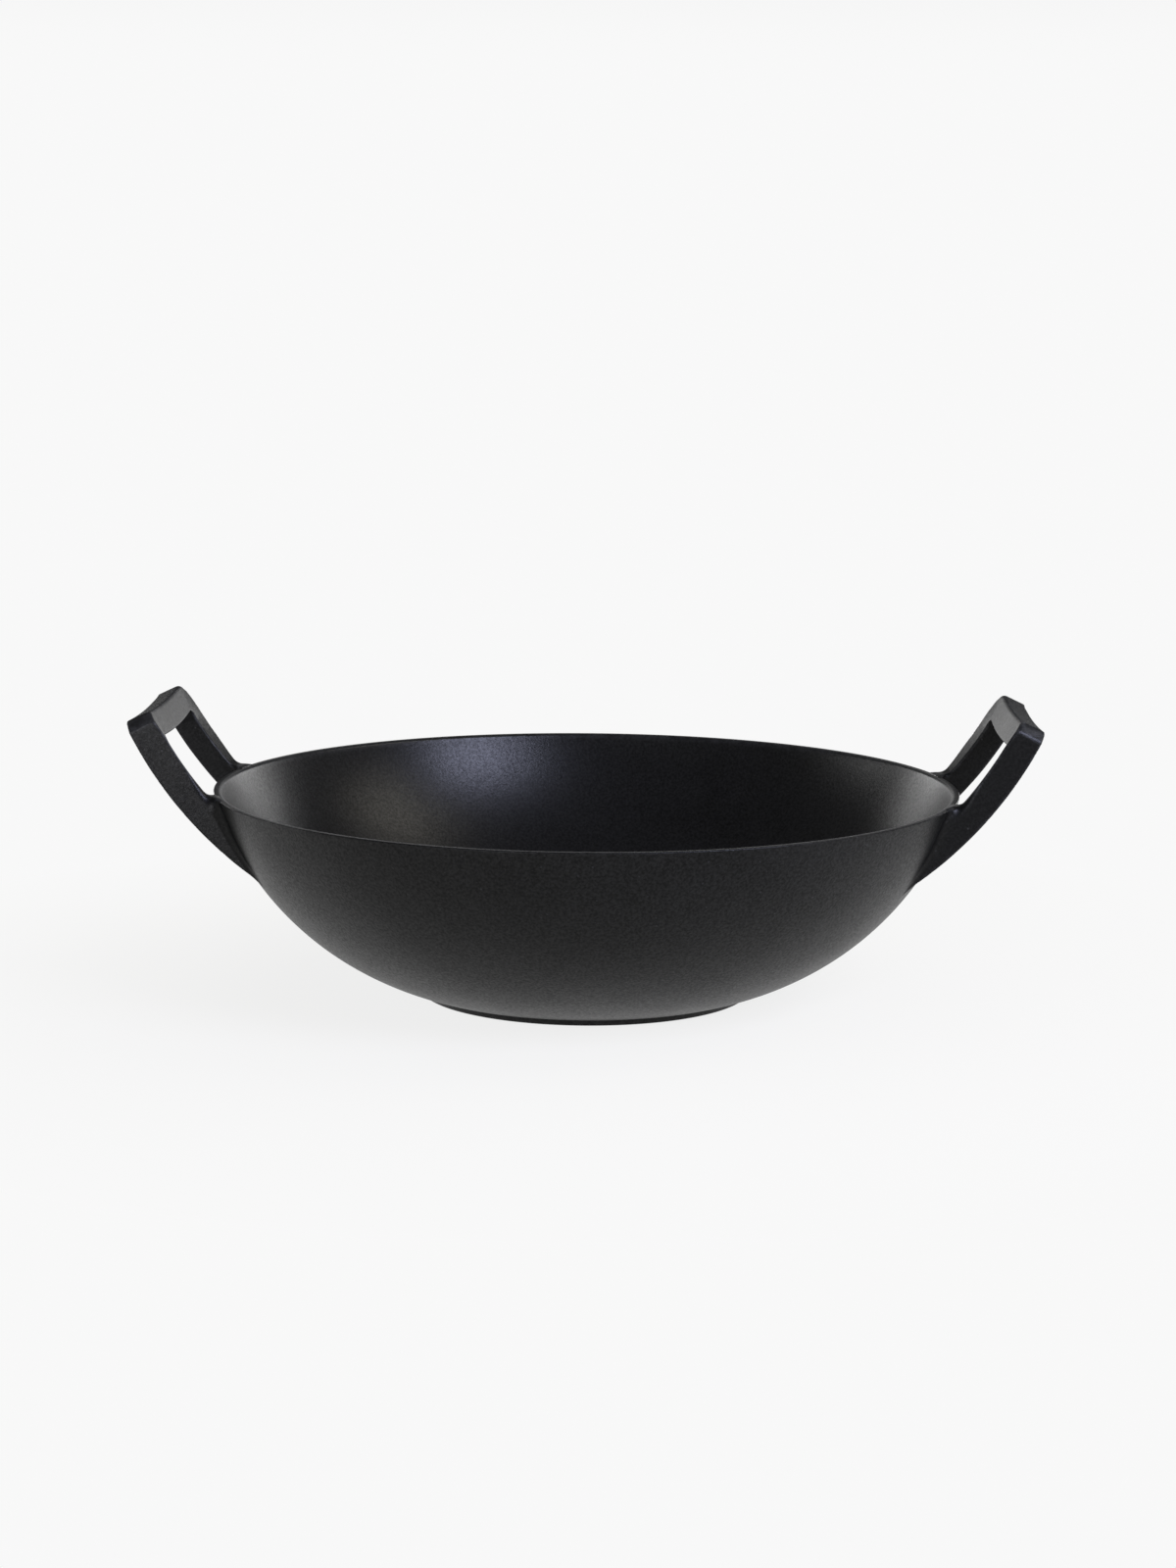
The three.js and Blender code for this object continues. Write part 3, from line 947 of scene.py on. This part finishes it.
@dataclass(frozen=True)
class Studio:
    """Pale floor, even surroundings, softboxes and the camera."""

    white: float = 0.94
    overhead: float = 0.2
    white_height: float = 0.05
    overhead_height: float = 0.26
    ambient: float = 0.3
    floor_colour: Colour = (0.098, 0.095, 0.082)
    floor_glow: float = 0.83
    floor_size: float = 14.0
    floor_span: Span = (0.15, 0.42)
    floor_drop: float = 0.0002
    camera_target: Place = (0.0, 0.0, 0.060)
    camera_distance: float = 1.62072
    camera_elevation: float = math.radians(10.558)
    camera_bearing: float = math.radians(1.641)
    camera_tilt: float = math.radians(1.4035)
    camera_pan: float = math.radians(0.0251)
    camera_roll: float = math.radians(0.451)
    lens: float = 77.311
    sensor_width: float = 36.0
    clip_start: float = 0.05
    lamps: tuple[SoftBox, ...] = (
        SoftBox("key", 44.0, 33.0, 1.4, 0.65, 23.0, (0.70, 0.74, 1.0)),
        SoftBox("warm", 95.0, 44.0, 1.4, 0.6, 4.0, (1.0, 0.95, 0.82)),
        SoftBox("fill", -22.0, 5.0, 1.6, 0.5, 6.0, (0.95, 0.95, 1.0)),
        SoftBox("left", -106.0, 4.0, 1.6, 0.8, 5.6, (1.0, 1.0, 1.0)),
        SoftBox("back_right", 146.0, 7.0, 1.8, 0.7, 6.0, (1.0, 1.0, 1.0)),
        SoftBox("back_left", -146.0, 6.0, 1.8, 0.7, 6.0, (1.0, 1.0, 1.0)),
    )

    def build(self) -> None:
        """Sets the view transform and makes the surroundings, floor, lamps and camera."""
        bpy.context.scene.view_settings.view_transform = "Standard"
        self.surroundings()
        self.floor()
        for lamp in self.lamps:
            lamp.build()
        bpy.context.scene.camera = self.camera()

    def seen(self, board: Board) -> bpy.types.NodeSocket:
        """Tells the rays that show a thing from the rays that light the object.

        Args:
            board: Board of the tree that asks.

        Returns:
            1 for rays from the camera, in gloss and through glass, and 0 for the rest.
        """
        path = board.add("ShaderNodeLightPath").outputs
        reflected = board.math("MAXIMUM", path["Is Glossy Ray"], path["Is Transmission Ray"])
        return board.math("MAXIMUM", path["Is Camera Ray"], reflected)

    def surroundings(self) -> None:
        """White surroundings that darken overhead, and light the object less than they show."""
        world = bpy.data.worlds.new("surroundings")
        world.use_nodes = True
        world.node_tree.nodes.clear()
        board = Board(world.node_tree)
        way = board.add("ShaderNodeTexCoord").outputs["Generated"]
        height = board.add("ShaderNodeSeparateXYZ", Vector=way).outputs["Z"]
        sky = board.add(
            "ShaderNodeMapRange",
            {"interpolation_type": "SMOOTHSTEP"},
            Value=height,
            From_Min=self.white_height,
            From_Max=self.overhead_height,
            To_Min=self.white,
            To_Max=self.overhead,
        ).outputs[0]
        strength = board.mix(self.seen(board), self.ambient, sky)
        shader = board.add("ShaderNodeBackground", Color=(1.0, 1.0, 1.0, 1.0), Strength=strength)
        board.add("ShaderNodeOutputWorld", Surface=shader.outputs[0])
        bpy.context.scene.world = world

    def floor(self) -> bpy.types.Object:
        """Pale floor that keeps the object's shadow and runs out into the white of the surroundings.

        Returns:
            The floor.
        """
        material = bpy.data.materials.new("pale_floor")
        material.use_nodes = True
        material.node_tree.nodes.clear()
        board = Board(material.node_tree)
        place = board.add("ShaderNodeTexCoord").outputs["Object"]
        away = board.add("ShaderNodeVectorMath", {"operation": "LENGTH"}, p0=place).outputs["Value"]
        share = board.spread(away, self.floor_span)
        colour = board.blend(share, (*self.floor_colour, 1.0), (0.0, 0.0, 0.0, 1.0))
        matt = board.add("ShaderNodeBsdfDiffuse", Color=colour)
        shown = board.between(share, self.floor_glow, self.white)
        glow = board.math("MULTIPLY", self.seen(board), shown)
        light = board.add("ShaderNodeEmission", Color=(1.0, 1.0, 1.0, 1.0), Strength=glow)
        both = board.add("ShaderNodeAddShader", p0=matt.outputs[0], p1=light.outputs[0])
        board.add("ShaderNodeOutputMaterial", Surface=both.outputs[0])
        half = self.floor_size / 2.0
        square = np.array([[-half, -half], [half, -half], [half, half], [-half, half]])
        vertices = np.column_stack([square, np.full(4, -self.floor_drop)])
        mesh = bpy.data.meshes.new("floor")
        mesh.from_pydata(vertices.tolist(), [], [(0, 1, 2, 3)])
        mesh.materials.append(material)
        floor = bpy.data.objects.new("floor", mesh)
        bpy.context.scene.collection.objects.link(floor)
        return floor

    def camera(self) -> bpy.types.Object:
        """Camera at the photograph's viewing angle.

        Formula: it stands at a distance, elevation and bearing from its target, looks at the target, and
        is then tilted up, panned and rolled by small angles.

        Returns:
            The camera.
        """
        data = bpy.data.cameras.new("camera")
        data.lens = self.lens
        data.sensor_width = self.sensor_width
        data.clip_start = self.clip_start
        camera = bpy.data.objects.new("camera", data)
        upright = Matrix.Rotation(math.pi / 2.0 - self.camera_elevation, 4, "X")
        aim = Matrix.Rotation(self.camera_bearing, 4, "Z") @ upright
        back = aim @ Vector((0.0, 0.0, self.camera_distance))
        turn = (
            Matrix.Rotation(self.camera_tilt, 4, "X")
            @ Matrix.Rotation(-self.camera_pan, 4, "Y")
            @ Matrix.Rotation(self.camera_roll, 4, "Z")
        )
        camera.matrix_world = Matrix.Translation(Vector(self.camera_target) + back) @ aim @ turn
        bpy.context.scene.collection.objects.link(camera)
        return camera


def main() -> None:
    """Builds the wok and the studio."""
    logging.basicConfig(level=logging.INFO, format="%(name)s: %(message)s")
    outside = IronFinish("seasoned_outside")
    cooking = IronFinish(
        "seasoned_cooking_surface",
        dark=(0.0008, 0.0008, 0.0008),
        pale=(0.0078, 0.0077, 0.0077),
        dust=(0.004, 0.004, 0.004),
        rough_low=0.27,
        rough_high=0.36,
        specular=0.155,
        film_rough=0.33,
        grain_height=0.00008,
    )
    handled = IronFinish(
        "seasoned_handles",
        dark=(0.0008, 0.0008, 0.0008),
        pale=(0.0055, 0.0055, 0.0056),
        rough_low=0.28,
        rough_high=0.38,
        film=0.08,
    )
    wall = Wall()
    pieces = [
        Bowl(wall).build({Zone.OUTSIDE: outside, Zone.COOKING: cooking}),
        Foot(wall).build(outside),
        LoopHandle(wall, Turn.RIGHT).build(handled),
        LoopHandle(wall, Turn.LEFT).build(handled),
    ]
    for piece in pieces:
        LOG.info("%s: %d faces", piece.name, len(piece.data.polygons))
    Studio().build()


if __name__ == "__main__":
    main()
